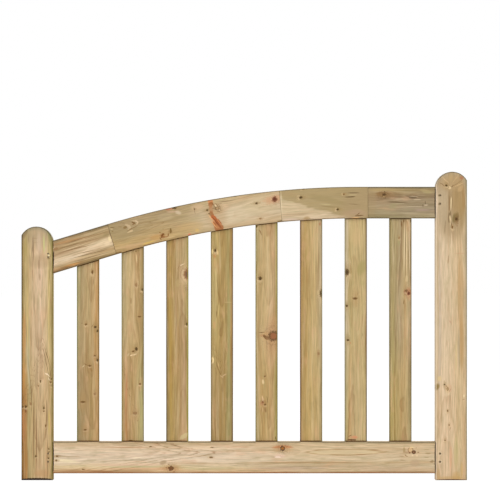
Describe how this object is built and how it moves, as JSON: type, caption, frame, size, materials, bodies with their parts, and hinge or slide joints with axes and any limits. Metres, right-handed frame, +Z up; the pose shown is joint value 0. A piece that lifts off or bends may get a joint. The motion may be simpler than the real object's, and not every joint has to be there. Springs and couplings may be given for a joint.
{
  "type": "garden gate",
  "caption": "Timber garden gate leaf with a swept top rail, round-headed stiles, a level bottom rail and upright pales.",
  "frame": {"origin": "on the ground, at the middle of the leaf's width and thickness", "axes": "+X across the leaf from the low stile to the tall stile, -Y out of the front face, +Z up"},
  "size_m": [1.3, 0.045, 0.9],
  "materials": {
    "stile_timber": "pressure-treated softwood, planed, tan with a faint green tint",
    "rail_timber": "pressure-treated softwood, planed, pale tan with orange-brown latewood",
    "pale_timber": "pressure-treated softwood, planed, olive tan with dark knots",
    "pin_steel": "dull weathered steel wire",
    "dowel_beech": "plain beech dowel, out of sight"
  },
  "bodies": {
    "root": {"low_stile": "stile_timber", "tall_stile": "stile_timber", "bottom_rail": "rail_timber", "top_rail_low": "rail_timber", "top_rail_sweep": "rail_timber", "top_rail_crest": "rail_timber", "top_rail_tall": "rail_timber", "low_bottom_pins": "pin_steel", "low_top_pins": "pin_steel", "tall_bottom_pins": "pin_steel", "tall_top_pins": "pin_steel", "slope_joint_dowels": "dowel_beech", "crest_joint_dowels": "dowel_beech", "level_joint_dowels": "dowel_beech", "pale_1": "pale_timber", "pale_2": "pale_timber", "pale_3": "pale_timber", "pale_4": "pale_timber", "pale_5": "pale_timber", "pale_6": "pale_timber", "pale_7": "pale_timber", "pale_8": "pale_timber"}
  },
  "joints": []
}
